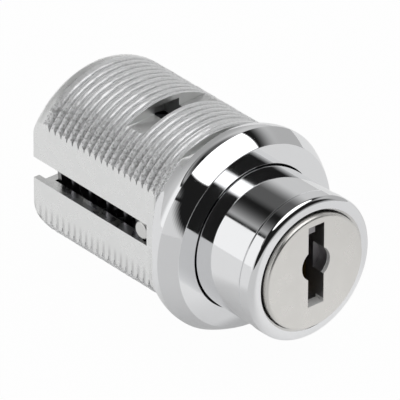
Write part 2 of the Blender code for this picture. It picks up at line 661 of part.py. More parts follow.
def make_tab():
    """A slide with a cross slot, which the crank pin lifts when the core turns."""
    tongue = TAB_TONGUE_HALF_WIDTH
    outline = [
        (-TAB_HALF_WIDTH, TAB_FOOT), (TAB_HALF_WIDTH, TAB_FOOT), (TAB_HALF_WIDTH, TAB_SHOULDER),
        (tongue, TAB_SHOULDER), (tongue, TAB_TOP - TAB_CORNER), (tongue - TAB_CORNER, TAB_TOP),
        (TAB_CORNER - tongue, TAB_TOP), (-tongue, TAB_TOP - TAB_CORNER), (-tongue, TAB_SHOULDER),
        (-TAB_HALF_WIDTH, TAB_SHOULDER)]
    half_slot = CRANK_PIN_RADIUS + WALL_GAP
    reach = CRANK_RADIUS + half_slot
    slot = [
        (-reach, -CRANK_OFFSET - half_slot), (reach, -CRANK_OFFSET - half_slot),
        (reach, -CRANK_OFFSET + half_slot), (-reach, -CRANK_OFFSET + half_slot)]
    return plate("locking_tab", [outline, slot], TAB_STATION, TAB_THICKNESS, STEEL)


def make_bolt():
    shoulder = BODY_REAR_STATION - SEAT_GAP
    profile = [
        (0.0, SPIGOT_FRONT_STATION), (SPIGOT_RADIUS - BODY_EDGE, SPIGOT_FRONT_STATION),
        (SPIGOT_RADIUS, SPIGOT_FRONT_STATION - BODY_EDGE), (SPIGOT_RADIUS, shoulder),
        (BOLT_RADIUS, shoulder), (BOLT_RADIUS, BOLT_REAR_STATION + BOLT_CHAMFER),
        (BOLT_RADIUS - BOLT_CHAMFER, BOLT_REAR_STATION), (0.0, BOLT_REAR_STATION)]
    bolt = turned("lock_bolt", profile, STEEL, BODY_SEGMENTS, closed=False)
    outside = SPIGOT_RADIUS + CUT_BEYOND
    cut_rod(bolt, "bolt_pin_hole", PIN_RADIUS + RUNNING_GAP, (-outside, PIN_STATION, 0),
            (outside, PIN_STATION, 0))
    return bolt


def make_cross_pin():
    side = PIN_RADIUS - PIN_END_ROUND
    reach = PIN_REACH - PIN_END_ROUND
    profile = [(0.0, PIN_REACH)]
    profile += arc((side, reach), PIN_END_ROUND, 90, 0, ROUND_STEPS)
    profile += arc((side, -reach), PIN_END_ROUND, 0, -90, ROUND_STEPS)
    profile.append((0.0, -PIN_REACH))
    matrix = Matrix.Translation(Vector((0, -PIN_STATION, 0)) * MM) @ SIDE_UP
    return turned("cross_pin", profile, STEEL, SMALL_SEGMENTS, matrix, closed=False)


def make_washer():
    hole = BOLT_RADIUS + WASHER_HOLE_GAP
    profile = [
        (hole, WASHER_FRONT), (WASHER_RADIUS, WASHER_FRONT), (WASHER_RADIUS, WASHER_BACK),
        (hole, WASHER_BACK)]
    return turned("spring_washer", profile, STEEL, BODY_SEGMENTS)


def make_return_spring():
    """Open coils between flat end turns, from the cylinder body to the washer."""
    inset = SPRING_WIRE / 2 + SEAT_GAP
    end_rise = SPRING_WIRE + SEAT_GAP
    first = BODY_REAR_STATION - inset
    last = WASHER_FRONT + inset
    total = SPRING_TURNS + 2
    steps = round(total * SPRING_STEPS_PER_TURN)
    points = []
    for i in range(steps + 1):
        turn = total * i / steps
        angle = 2 * math.pi * turn
        if turn < 1:
            station = first - end_rise * turn
        elif turn > total - 1:
            station = last + end_rise * (total - turn)
        else:
            share = (turn - 1) / SPRING_TURNS
            station = (first - end_rise) * (1 - share) + (last + end_rise) * share
        points.append((SPRING_MEAN_RADIUS * math.cos(angle), -station, SPRING_MEAN_RADIUS * math.sin(angle)))
    return coil("return_spring", points, SPRING_WIRE, SPRING_STEEL)


def build():
    make_housing()
    make_sleeve()
    make_cylinder_body()
    make_core()
    for index in range(WAFER_COUNT):
        make_wafer(index)
        make_wafer_spring(index)
    make_clip()
    make_tab()
    make_bolt()
    make_cross_pin()
    make_washer()
    make_return_spring()


build()
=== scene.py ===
import math

import bmesh
import bpy
import numpy as np
from mathutils import Matrix, Vector, noise


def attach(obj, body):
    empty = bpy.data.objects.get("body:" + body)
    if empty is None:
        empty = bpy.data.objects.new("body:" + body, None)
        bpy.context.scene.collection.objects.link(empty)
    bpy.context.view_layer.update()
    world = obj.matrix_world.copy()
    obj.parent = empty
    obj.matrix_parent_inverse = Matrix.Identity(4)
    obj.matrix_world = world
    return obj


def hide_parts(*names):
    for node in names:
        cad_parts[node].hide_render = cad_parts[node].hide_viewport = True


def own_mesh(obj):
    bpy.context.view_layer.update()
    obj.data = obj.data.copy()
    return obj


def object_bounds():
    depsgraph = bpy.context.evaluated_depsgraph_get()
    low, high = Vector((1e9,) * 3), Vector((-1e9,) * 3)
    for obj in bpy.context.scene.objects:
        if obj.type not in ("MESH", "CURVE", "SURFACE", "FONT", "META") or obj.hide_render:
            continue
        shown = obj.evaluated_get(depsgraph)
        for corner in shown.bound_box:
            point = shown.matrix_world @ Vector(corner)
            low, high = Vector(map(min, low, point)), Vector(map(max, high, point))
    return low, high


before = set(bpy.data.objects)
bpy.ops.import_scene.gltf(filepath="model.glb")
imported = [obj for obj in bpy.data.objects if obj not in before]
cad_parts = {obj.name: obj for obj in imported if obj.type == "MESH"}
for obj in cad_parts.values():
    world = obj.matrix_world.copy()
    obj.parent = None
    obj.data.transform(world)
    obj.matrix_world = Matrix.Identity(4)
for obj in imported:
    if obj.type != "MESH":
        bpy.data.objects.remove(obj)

# Looks of a pushbutton cabinet lock. The lock axis lies along Y and the button faces -Y.
# Lengths are in millimetres unless said otherwise, and a station s lies at world y = -s.
# A pair is a range, or a place given as x and then y or z.

CAD_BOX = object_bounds()
MM = 0.001

# Camera, with its angles in degrees
CAMERA_DISTANCE = 900.0
CAMERA_AZIMUTH = -40.38
CAMERA_ELEVATION = 30.42
CAMERA_ROLL = 0.2
CAMERA_SHIFT_RIGHT = 6.016
CAMERA_SHIFT_UP = -3.963
CAMERA_FOCUS_STATION = 7.9
CAMERA_LENS = 738.7
CAMERA_SENSOR = 36.0
CAMERA_NEAR = 10.0
CAMERA_FAR = 20000.0

# Clearances between the pieces
RUNNING_GAP = 0.1
SEAT_GAP = 0.2
WALL_GAP = 0.15

# How far the pieces move
STROKE = 8.4
TAB_THROW = 1.8

# Collar of the housing
COLLAR_LENGTH = 7.9
COLLAR_RADIUS = 12.14
COLLAR_FACE_INSET = 1.15
COLLAR_EDGE = 5.7
COLLAR_BAND = 0.3
COLLAR_NECK = 1.2
COLLAR_NECK_STEP = 0.05
BEVEL_CROWN = 0.07
BEVEL_ROUND = 0.1
BORE_MOUTH_ROUND = 0.05
# Deeper than this the bore is coloured near black, as painted shade
BORE_SHINE_END = 5.0

# Barrel of the housing and its thread
THREAD_RADIUS = 11.0
THREAD_PITCH = 1.0
THREAD_START = 1.15
THREAD_RUNOUT = 2.9
THREAD_END = -17.4
THREAD_SWELL = 0.1
THREAD_GROOVE = 0.28
THREAD_FADE_FRONT = 0.9
THREAD_FADE_REAR = 0.3
RELIEF_DEPTH = 0.1
RELIEF_REAR = 0.45
RELIEF_FADE = 0.1
NOSE_LENGTH = 2.0
NOSE_ROUND = 1.05
FLAT_WALL = 1.25
FLAT_EXIT = 0.1

# The groove's side, as shares of half a pitch away from the crest's middle
GROOVE_START = 0.64
GROOVE_SIDE = 0.33

# Lumps of the cast skin: their heights, and how many to a millimetre
BROAD_LUMP = 0.035
BROAD_LUMPS_PER_MM = 1.7
SMALL_LUMP = 0.02
SMALL_LUMPS_PER_MM = 4.3
SKIN_SINK = 0.02

# Bores, slots and windows of the housing
BORE_SLACK = 0.3
REAR_LIP = 1.65
RECESS_DEPTH = 1.1
RECESS_ROUND = 0.1
REAR_WALL = 1.0
BOLT_HOLE_GAP = 0.8
SLOT_SIDE_GAP = 0.22
CHANNEL_HALF = 1.75
CHANNEL_ROOF = 0.7
CHANNEL_RUN_OUT = 2.5
WINDOW_DEPTH = 1.6
WINDOW_FRONT_GAP = 0.33
WINDOW_REAR_GAP = 1.1

# Cylinder body and locking tab, as far as the visible pieces are fitted to them
BODY_WALL = 1.05
BODY_PARTITION = 1.2
BODY_PIN_WALL = 0.55
TAB_STATION = 3.0
TAB_THICKNESS = 1.2

# Button sleeve
SLEEVE_WALL = 0.7
SLEEVE_INSET = 0.4
SLEEVE_LIP = 0.98
SLEEVE_LIP_GAP = 0.3
SLEEVE_MOUTH_GAP = 0.16
SLEEVE_MOUTH_EDGE = 0.2
SLEEVE_RIM_TOP = 7.3
SLEEVE_RIM_ROUND = 0.68
SLEEVE_RIM_LENGTH = 1.98
SLEEVE_RIM_SWELL = 0.1
SLEEVE_RIM_TAPER = 0.3

# Core with its clip groove and crank pin
CORE_RADIUS = 6.45
CORE_FACE = 18.0
CORE_PROUD = 0.62
CORE_EDGE = 0.32
CORE_FLANGE_LIP = 0.45
TAIL_RADIUS = 3.0
CLIP_GROOVE_RADIUS = 2.4
CLIP_THICKNESS = 0.5
CLIP_LIP = 0.4
CRANK_RADIUS = 0.6
CRANK_ROOT = 0.3

# Keyway
KEYWAY_CENTRE_X = 0.1
KEYWAY_WIDTH = 2.25
KEYWAY_TOP_WALL = 0.53
KEYWAY_BOTTOM_WALL = 2.33
KEYWAY_END_WALL = 0.7
WARD_WIDTH = 1.45
WARD_HEIGHT = 1.2
WARD_INSET = 0.6
POST_HOLE_RADIUS = 2.0
POST_HOLE_DEPTH = 1.8
POST_HOLE_RISE = 0.15

# Edges of the keyway and its post hole with painted light
POST_HOLE_LIT = 0.5
KEYWAY_LIT = 1.3
KEYWAY_LIT_HEIGHT = 0.4
HAIR = 0.01

# Wafers and their springs
WAFER_COUNT = 5
WAFER_THICKNESS = 0.6
WAFER_FRONT_WALL = 1.3
WAFER_REAR_WALL = 0.9
WAFER_SHOULDER = 2.5
LUG_ROOT = 0.2
LUG_INSET = 0.95
LUG_SLOT_Z = 1.15
WAFER_SPRING_RADIUS = 0.5
WAFER_SPRING_WIRE = 0.2
SPRING_HOLE_TOP = 2.65

# Bolt and cross pin
BOLT_RADIUS = 4.5
BOLT_INSET = 0.3
BOLT_CHAMFER = 0.5
BOLT_ROUND = 0.1
BOLT_SIDE_ROUND = 0.15
SPIGOT_RADIUS = 2.5
SPIGOT_NECK = 0.75
SPIGOT_ROUND = 0.15
PIN_STATION = -1.05
PIN_RADIUS = 1.1
PIN_INSET = 0.15
PIN_ROUND = 0.35

# Return spring and its washer
WASHER_THICKNESS = 0.6
WIRE_RADIUS = 0.4
SPRING_SIDE_GAP = 0.55
SPRING_END_RISE = 1.0
SPRING_TURNS = 5.5

# Radii and places across the axis that follow from these
COLLAR_FACE_RADIUS = COLLAR_RADIUS - COLLAR_FACE_INSET
COLLAR_NECK_RADIUS = THREAD_RADIUS + COLLAR_NECK_STEP
NOSE_RADIUS = THREAD_RADIUS - NOSE_ROUND
RECESS_RADIUS = NOSE_RADIUS - REAR_LIP
WALL_HOLE = BOLT_RADIUS + BOLT_HOLE_GAP
WINDOW_FLOOR = THREAD_RADIUS - WINDOW_DEPTH
CHANNEL_TOP = THREAD_RADIUS - CHANNEL_ROOF
BODY_RADIUS = CORE_RADIUS + RUNNING_GAP + BODY_WALL
MAIN_BORE = BODY_RADIUS + WALL_GAP
FLAT = MAIN_BORE + FLAT_WALL
CORE_FLANGE_RADIUS = CORE_RADIUS + CORE_FLANGE_LIP
SLEEVE_MOUTH = CORE_FLANGE_RADIUS + SLEEVE_MOUTH_GAP
SLEEVE_BORE = BODY_RADIUS + SEAT_GAP
SLEEVE_RADIUS = SLEEVE_BORE + SLEEVE_WALL
SLEEVE_RIM_RADIUS = SLEEVE_RADIUS + SLEEVE_RIM_SWELL
BUTTON_BORE = SLEEVE_RADIUS + WALL_GAP
PIN_HOLE_RADIUS = PIN_RADIUS + RUNNING_GAP
PIN_REACH = FLAT - PIN_INSET
SLOT_HALF = PIN_RADIUS + SLOT_SIDE_GAP
SPRING_RADIUS = MAIN_BORE - SPRING_SIDE_GAP - WIRE_RADIUS
CRANK_PLACE = -TAB_THROW / 2
KEYWAY_X = (KEYWAY_CENTRE_X - KEYWAY_WIDTH / 2, KEYWAY_CENTRE_X + KEYWAY_WIDTH / 2)
KEYWAY_Z = (KEYWAY_BOTTOM_WALL - CORE_RADIUS, CORE_RADIUS - KEYWAY_TOP_WALL)
WARD_X = KEYWAY_X[0] + WARD_WIDTH
WARD_Z = KEYWAY_Z[1] - WARD_HEIGHT
POST_HOLE = (KEYWAY_CENTRE_X, (KEYWAY_Z[0] + KEYWAY_Z[1]) / 2 + POST_HOLE_RISE)
WAFER_HALF_WIDTH = CORE_RADIUS - WAFER_SHOULDER
WAFER_SLOT_REACH = WAFER_HALF_WIDTH + WALL_GAP
LUG_SLOT_X = (WAFER_HALF_WIDTH - LUG_ROOT, CORE_RADIUS - LUG_INSET + WALL_GAP)
SPRING_HOLE_RADIUS = WAFER_SPRING_RADIUS + WAFER_SPRING_WIRE / 2 + WALL_GAP
SPRING_HOLE_X = WAFER_HALF_WIDTH + SPRING_HOLE_RADIUS + RUNNING_GAP

# Stations that follow from them, of the button first
SLEEVE_FRONT = CORE_FACE - CORE_PROUD
SLEEVE_RIM_BEND = SLEEVE_FRONT - SLEEVE_RIM_ROUND
SLEEVE_RIM_REAR = SLEEVE_FRONT - SLEEVE_RIM_LENGTH
SLEEVE_LIP_REAR = SLEEVE_FRONT - SLEEVE_LIP
SLEEVE_REAR = COLLAR_LENGTH - SLEEVE_INSET
CORE_FLANGE_REAR = SLEEVE_LIP_REAR - SLEEVE_LIP_GAP + SEAT_GAP
WARD_FRONT = CORE_FACE - WARD_INSET
POST_HOLE_FLOOR = CORE_FACE - POST_HOLE_DEPTH
TAB_FRONT = TAB_STATION + TAB_THICKNESS / 2
TAB_BACK = TAB_STATION - TAB_THICKNESS / 2
CRANK_REAR = TAB_BACK + RUNNING_GAP
TAIL_REAR = TAB_FRONT + SEAT_GAP
CLIP_STATION = TAIL_REAR + CLIP_LIP + CLIP_THICKNESS / 2
CLIP_GROOVE = (CLIP_STATION - CLIP_THICKNESS / 2 - RUNNING_GAP,
               CLIP_STATION + CLIP_THICKNESS / 2 + RUNNING_GAP)
CORE_REAR = CLIP_STATION + CLIP_THICKNESS / 2 + SEAT_GAP + BODY_PARTITION + SEAT_GAP
KEYWAY_REAR = CORE_REAR + KEYWAY_END_WALL
WAFER_SLOT_HALF = WAFER_THICKNESS / 2 + RUNNING_GAP
WAFER_FRONT = CORE_FLANGE_REAR - WAFER_FRONT_WALL - WAFER_SLOT_HALF
WAFER_REAR = CORE_REAR + WAFER_REAR_WALL + WAFER_SLOT_HALF
WAFER_PITCH = (WAFER_FRONT - WAFER_REAR) / (WAFER_COUNT - 1)
SPIGOT_FRONT = PIN_STATION + PIN_RADIUS + SPIGOT_NECK
BODY_REAR = PIN_STATION - PIN_RADIUS - BODY_PIN_WALL
BOLT_SHOULDER = BODY_REAR - SEAT_GAP

# Stations of the housing and of what lies at its rear
BUTTON_BORE_END = SLEEVE_REAR - STROKE - BORE_SLACK
COLLAR_WINDOW = (TAB_BACK - SEAT_GAP, TAB_FRONT + SEAT_GAP)
BARREL_WINDOW = (TAB_BACK - STROKE - WINDOW_REAR_GAP, TAB_FRONT - STROKE + WINDOW_FRONT_GAP)
CHANNEL_REAR = BARREL_WINDOW[0] - CHANNEL_RUN_OUT
SLOT_FRONT = PIN_STATION + PIN_RADIUS + RUNNING_GAP
NOSE_END = THREAD_END - NOSE_LENGTH
WALL_BACK = NOSE_END + RECESS_DEPTH
WALL_FRONT = WALL_BACK + REAR_WALL
BOLT_REAR = NOSE_END + BOLT_INSET
SPRING_SEAT = WALL_FRONT + SEAT_GAP + WASHER_THICKNESS
SPRING_FIRST = BODY_REAR - SEAT_GAP - WIRE_RADIUS
SPRING_LAST = SPRING_SEAT + SEAT_GAP + WIRE_RADIUS

# Places of the materials in the housing's list, and of the last two in the core's
POLISHED, SKIN, SMOOTH, INSIDE, MILLED = range(5)
CUT = 1
# LIT marks the core's edges with painted light
LIT = 2

# Where the finish of the housing changes; inside THREAD_CREST the thread's grooves get painted shade
THREAD_CREST = (10.62, 10.83)
SPECKS_FROM = (5.0, 7.8)
TRACE_HEIGHT = (-5.4, -3.8)
TRACE_FRONT = (-1.0, 0.0)

# Floor
FLOOR_GAP = 0.05
FLOOR_REACH = 6000.0

# Brightness of the floor: seen by the camera, and mirrored by the lock with a painted shadow near it
FLOOR_WHITE = 0.975
FLOOR_MIRRORED = 0.5
FLOOR_SHADE = 0.7
FLOOR_OPEN = 0.8

# Where the painted shadow on the mirrored floor lifts and it is bright: before the lock, to its sides and
# behind it
OPEN_FRONT = (-12.2, -10.5)
OPEN_LEFT = (-14.0, 0.0)
OPEN_RIGHT = (16.0, 23.0)
OPEN_RIGHT_LEVEL = 0.6
OPEN_BEHIND = (-2.0, 5.0)
OPEN_BEHIND_LEVEL = 0.8

# Studio levels, where 1 is white
BOX_LEVEL = 1.5
DARK_LEVEL = 0.012
LEFT_WALL_LEVELS = (0.68, 0.95)
FRINGE_LEVELS = (0.02, 0.75)
RIGHT_WALL_LEVEL = 0.6
RIGHT_WALL_END_LEVEL = 0.75
BACK_WALL_LEVEL = 0.62
GLOW_LEVEL = 0.1

# Studio by direction: x to the right, y to the back, z up, each as part of a unit length
WALL_SPLIT_X = (-0.35, 0.2)
LEFT_WALL_Y = (-0.1, 0.5)
RIGHT_WALL_END_X = (0.72, 0.92)
BACK_WALL_Y = (0.68, 0.88)
CEILING_Z = (0.48, 0.77)
PANEL_TOP_Z = (0.535, 0.555)
FRINGE_Z = (0.56, 0.63)
DARK_SIDE = (-0.56, -0.66, 0.51)
DARK_SIDE_REACH = (0.74, 0.87)
DARK_FRONT_Y = (-0.62, -0.42)
DARK_FRONT_Z = (-0.05, 0.25)
GLOW_X = (-0.12, 0.1)
GLOW_Y = (0.2, 0.5)

# Round soft box on a ceiling one unit above the lock
BOX_CENTRE = (0.12, -0.25)
BOX_EDGE = (0.66, 0.72)
LEAST_RISE = 0.05

# Fineness of the meshes
SEGMENTS = 240
CORE_SEGMENTS = 144
PIN_SEGMENTS = 48
POST_HOLE_SEGMENTS = 72
SPRING_HOLE_SEGMENTS = 24
THREAD_STEPS = 12
BEVEL_STEPS = 10
FLARE_STEPS = 48
FILLET_STEPS = 5
FLAT_CURVE_STEPS = 24
NOSE_RINGS = 10
SLEEVE_RIM_STEPS = 14
COIL_STEPS = 48
WIRE_SIDES = 14
SUPPORT = 0.03
LONG_EDGE = 0.15

# Cutting tools reach this far past what they cut, or into one another
BEYOND = 1.0
OVERLAP = 0.1

# Edges sharper than these angles, in degrees, stay sharp
SHARP_ANGLE = 35.0
SHARP_HOUSING_ANGLE = 40.0
SHARP_COIL_ANGLE = 50.0

# Points of a mesh closer than this, in metres, are one
MERGE_DISTANCE = 1e-7


def link(tree, value, socket):
    if isinstance(value, bpy.types.NodeSocket):
        tree.links.new(value, socket)
    else:
        socket.default_value = value


def math_node(tree, operation, *values):
    node = tree.nodes.new("ShaderNodeMath")
    node.operation = operation
    for value, socket in zip(values, node.inputs):
        link(tree, value, socket)
    return node.outputs[0]


def product(tree, first, *others):
    """All the values multiplied together."""
    result = first
    for value in others:
        result = math_node(tree, "MULTIPLY", result, value)
    return result


def hypotenuse(tree, first, second):
    squares = math_node(tree, "ADD", product(tree, first, first), product(tree, second, second))
    return math_node(tree, "SQRT", squares)


def smooth_step(tree, value, span, at_low=0.0, at_high=1.0):
    """A smooth change from at_low to at_high while the value crosses the span."""
    node = tree.nodes.new("ShaderNodeMapRange")
    node.interpolation_type = "SMOOTHSTEP"
    link(tree, value, node.inputs["Value"])
    node.inputs["From Min"].default_value = span[0]
    node.inputs["From Max"].default_value = span[1]
    node.inputs["To Min"].default_value = at_low
    node.inputs["To Max"].default_value = at_high
    return node.outputs["Result"]


def step_in_mm(tree, value, span, at_low=0.0, at_high=1.0):
    """The same smooth change for a value in metres and a span in millimetres."""
    return smooth_step(tree, value, (span[0] * MM, span[1] * MM), at_low, at_high)


def mix_colours(tree, share, first, second):
    node = tree.nodes.new("ShaderNodeMix")
    node.data_type = "RGBA"
    link(tree, share, node.inputs[0])
    link(tree, first, node.inputs[6])
    link(tree, second, node.inputs[7])
    return node.outputs[2]


def noise_node(tree, vector, scale, detail=3.0, roughness=0.5):
    """Noise with scale lumps to a metre."""
    node = tree.nodes.new("ShaderNodeTexNoise")
    link(tree, vector, node.inputs["Vector"])
    node.inputs["Scale"].default_value = scale
    node.inputs["Detail"].default_value = detail
    node.inputs["Roughness"].default_value = roughness
    return node.outputs["Fac"]


def object_point(tree):
    return tree.nodes.new("ShaderNodeTexCoord").outputs["Object"]


def split_vector(tree, vector):
    node = tree.nodes.new("ShaderNodeSeparateXYZ")
    tree.links.new(vector, node.inputs[0])
    return node.outputs[0], node.outputs[1], node.outputs[2]


def axis_distance(tree):
    """Distance from the lock axis, in metres."""
    x, _, z = split_vector(tree, object_point(tree))
    return hypotenuse(tree, x, z)


def new_metal(name, colour, roughness, metallic=1.0):
    material = bpy.data.materials.new(name)
    material.use_nodes = True
    shader = material.node_tree.nodes["Principled BSDF"]
    shader.inputs["Base Color"].default_value = (*colour, 1.0)
    shader.inputs["Metallic"].default_value = metallic
    shader.inputs["Roughness"].default_value = roughness
    return material, material.node_tree, shader


def vary_roughness(tree, shader, pattern, span, smoothest, roughest):
    tree.links.new(smooth_step(tree, pattern, span, smoothest, roughest), shader.inputs["Roughness"])


def add_bump(tree, shader, height, strength, distance):
    """Bumps of the given height pattern, with the distance in millimetres."""
    node = tree.nodes.new("ShaderNodeBump")
    node.inputs["Strength"].default_value = strength
    node.inputs["Distance"].default_value = distance * MM
    link(tree, height, node.inputs["Height"])
    tree.links.new(node.outputs["Normal"], shader.inputs["Normal"])


def polished_chrome():
    """Mirror chrome with faint polishing rings round the axis."""
    material, tree, shader = new_metal("bright_chrome", (0.9, 0.905, 0.915), 0.04)
    along = tree.nodes.new("ShaderNodeMapping")
    link(tree, object_point(tree), along.inputs["Vector"])
    along.inputs["Scale"].default_value = (0.0, 9000.0, 0.0)
    rings = noise_node(tree, along.outputs["Vector"], scale=1.0, detail=2.0)
    haze = noise_node(tree, object_point(tree), scale=420.0)
    vary_roughness(tree, shader, haze, (0.35, 0.75), 0.025, 0.075)
    add_bump(tree, shader, rings, strength=0.04, distance=0.01)
    return material


def cast_chrome():
    """Chrome over the coarse skin of a die casting, with painted shade in the thread's grooves and specked
    at the sides.
    """
    material, tree, shader = new_metal("cast_chrome", (0.95, 0.955, 0.96), 0.3, metallic=0.55)
    point = object_point(tree)
    pits = noise_node(tree, point, scale=1100.0, detail=2.0)
    vary_roughness(tree, shader, pits, (0.3, 0.7), 0.32, 0.46)
    # Painted shade: below the crest the base colour falls to half, darkening the thread's grooves
    crest = step_in_mm(tree, axis_distance(tree), THREAD_CREST, at_low=0.5)
    aside = math_node(tree, "ABSOLUTE", split_vector(tree, point)[0])
    worn = step_in_mm(tree, aside, SPECKS_FROM, at_low=0.12, at_high=0.6)
    fine = noise_node(tree, point, scale=3000.0, roughness=0.7)
    specks = smooth_step(tree, fine, (0.42, 0.54), at_low=1.0, at_high=0.0)
    unshaded_unspecked = product(tree, crest, math_node(tree, "SUBTRACT", 1.0, product(tree, worn, specks)))
    colour = mix_colours(tree, unshaded_unspecked, (0.3, 0.3, 0.3, 1.0), (0.97, 0.975, 0.98, 1.0))
    tree.links.new(colour, shader.inputs["Base Color"])
    grain = noise_node(tree, point, scale=2600.0, detail=4.0, roughness=0.65)
    add_bump(tree, shader, grain, strength=0.4, distance=0.07)
    return material


def flat_chrome():
    """Chrome over the smoother sides of the casting, with traces of the thread low on the flats."""
    material, tree, shader = new_metal("flat_chrome", (0.84, 0.845, 0.84), 0.26)
    point = object_point(tree)
    _, y, z = split_vector(tree, point)
    wave = math_node(tree, "SINE", product(tree, y, 2 * math.pi / (THREAD_PITCH * MM)))
    traces = product(tree, smooth_step(tree, wave, (-0.3, 1.0)),
                     step_in_mm(tree, z, TRACE_HEIGHT, at_low=1.0, at_high=0.0),
                     step_in_mm(tree, y, TRACE_FRONT))
    colour = mix_colours(tree, traces, (0.9, 0.905, 0.9, 1.0), (0.68, 0.68, 0.68, 1.0))
    tree.links.new(colour, shader.inputs["Base Color"])
    vary_roughness(tree, shader, noise_node(tree, point, scale=700.0), (0.3, 0.7), 0.22, 0.36)
    grain = noise_node(tree, point, scale=2200.0, detail=4.0, roughness=0.6)
    add_bump(tree, shader, grain, strength=0.18, distance=0.04)
    return material


def satin_nickel():
    """Nickel with fine rings left by the lathe."""
    material, tree, shader = new_metal("satin_nickel", (0.82, 0.805, 0.775), 0.3)
    rings = tree.nodes.new("ShaderNodeCombineXYZ")
    tree.links.new(axis_distance(tree), rings.inputs[0])
    lines = noise_node(tree, rings.outputs[0], scale=16000.0, detail=2.0)
    cloud = noise_node(tree, object_point(tree), scale=500.0, detail=2.0)
    vary_roughness(tree, shader, cloud, (0.3, 0.7), 0.26, 0.36)
    add_bump(tree, shader, lines, strength=0.12, distance=0.02)
    return material


def dull_metal(name, colour, roughness):
    """Metal inside the lock, slightly uneven; the dark colours of the bores and of the keyway are painted
    shade.
    """
    material, tree, shader = new_metal(name, colour, roughness)
    patches = noise_node(tree, object_point(tree), scale=900.0, detail=4.0, roughness=0.6)
    darker = tuple(0.7 * c for c in colour)
    mixed = mix_colours(tree, patches, (*darker, 1.0), (*colour, 1.0))
    tree.links.new(mixed, shader.inputs["Base Color"])
    add_bump(tree, shader, patches, strength=0.2, distance=0.03)
    return material


CHROME = polished_chrome()
CAST = cast_chrome()
FLAT_CHROME = flat_chrome()
NICKEL = satin_nickel()
# Painted shade: a darker copy of the core's nickel on the walls inside the keyway
KEYWAY_METAL = dull_metal("keyway_painted_shade", (0.45, 0.44, 0.45), 0.5)
# Painted shade: the bores behind the shiny mouth are coloured near black
BORE_SHADE_METAL = dull_metal("bore_painted_shade", (0.1, 0.1, 0.105), 0.5)
WINDOW_METAL = new_metal("window_metal", (0.8, 0.805, 0.8), 0.42)[0]
# Painted light: a bright, non-metal copy of the keyway metal on the keyway's lit edges
PAINTED_LIT_METAL = new_metal("keyway_painted_light", (0.92, 0.92, 0.91), 0.5, metallic=0.0)[0]
PIN_METAL = new_metal("pin_steel", (0.74, 0.74, 0.73), 0.24)[0]
ZINC = dull_metal("cast_zinc", (0.3, 0.3, 0.3), 0.45)
STEEL = dull_metal("steel", (0.62, 0.62, 0.62), 0.28)
SPRING_STEEL = dull_metal("spring_steel", (0.3, 0.3, 0.32), 0.35)
BRASS = dull_metal("wafer_brass", (0.6, 0.46, 0.22), 0.35)


def rounded(points):
    """A polyline of (radius, station, fillet) points with each fillet drawn as an arc."""
    out = []
    for i, (radius, station, fillet) in enumerate(points):
        corner = Vector((radius, station))
        if fillet == 0 or i in (0, len(points) - 1):
            out.append((radius, station))
            continue
        before = (Vector(points[i - 1][:2]) - corner).normalized()
        after = (Vector(points[i + 1][:2]) - corner).normalized()
        half = before.angle(after) / 2
        centre = corner + (before + after).normalized() * fillet / math.sin(half)
        start = corner + before * fillet / math.tan(half) - centre
        end = corner + after * fillet / math.tan(half) - centre
        first = math.atan2(start.y, start.x)
        sweep = math.remainder(math.atan2(end.y, end.x) - first, 2 * math.pi)
        for step in range(FILLET_STEPS + 1):
            angle = first + sweep * step / FILLET_STEPS
            out.append((centre.x + fillet * math.cos(angle), centre.y + fillet * math.sin(angle)))
    return out


def supported(points, closed):
    """Add rings close to the ends of long stretches, so that their shading stays straight."""
    out = []
    count = len(points)
    for i, first in enumerate(points):
        out.append(first)
        if i == count - 1 and not closed:
            break
        last = points[(i + 1) % count]
        along = (last[0] - first[0], last[1] - first[1])
        length = math.hypot(*along)
        if length > LONG_EDGE:
            for share in (SUPPORT / length, 1 - SUPPORT / length):
                out.append((first[0] + along[0] * share, first[1] + along[1] * share))
    return out


def clean_mesh(mesh):
    shape = bmesh.new()
    shape.from_mesh(mesh)
    bmesh.ops.remove_doubles(shape, verts=shape.verts, dist=MERGE_DISTANCE)
    bmesh.ops.dissolve_degenerate(shape, edges=shape.edges, dist=MERGE_DISTANCE)
    bmesh.ops.recalc_face_normals(shape, faces=shape.faces)
    shape.to_mesh(mesh)
    shape.free()


def ring_mesh(name, radii, stations, closed, marks=None):
    """A mesh of rings round the Y axis: radii has one row for each ring, marks one material."""
    count, segments = radii.shape
    angles = np.arange(segments) * 2 * math.pi / segments
    points = np.stack([radii * np.cos(angles), -np.repeat(stations[:, None], segments, 1),
                       radii * np.sin(angles)], 2).reshape(-1, 3) * MM
    rows = np.arange(count if closed else count - 1)
    here = rows[:, None] * segments + np.arange(segments)
    below = (rows[:, None] + 1) % count * segments + np.arange(segments)
    faces = np.stack([here, np.roll(here, -1, 1), np.roll(below, -1, 1), below], 2).reshape(-1, 4)
    mesh = bpy.data.meshes.new(name)
    mesh.from_pydata(points.tolist(), [], faces.tolist())
    if marks is not None:
        mesh.polygons.foreach_set("material_index", np.repeat(marks, segments))
    clean_mesh(mesh)
    return mesh


def round_rows(outline, segments):
    """The radii of round rings, one row for each point of the outline."""
    return np.repeat(np.array([radius for radius, _ in outline])[:, None], segments, 1)


def turned_mesh(name, points, segments, closed=True):
    outline = supported(rounded(points), closed)
    stations = np.array([station for _, station in outline])
    return ring_mesh(name, round_rows(outline, segments), stations, closed)


def new_object(name, mesh):
    item = bpy.data.objects.new(name, mesh)
    bpy.context.scene.collection.objects.link(item)
    return item


def marked(mesh, mark):
    """Give every face of a cutting tool one place in the list of materials."""
    for _ in range(mark + 1):
        mesh.materials.append(None)
    mesh.polygons.foreach_set("material_index", [mark] * len(mesh.polygons))
    return mesh


def prism_tool(outline, z_range, mark=0):
    """A solid between two heights, over a closed outline of (x, s) points."""
    count = len(outline)
    points = [(x * MM, -s * MM, z * MM) for z in z_range for x, s in outline]
    faces = [(i, (i + 1) % count, count + (i + 1) % count, count + i) for i in range(count)]
    faces += [tuple(range(count)), tuple(range(count, 2 * count))]
    mesh = bpy.data.meshes.new("tool")
    mesh.from_pydata(points, [], faces)
    clean_mesh(mesh)
    return marked(mesh, mark)


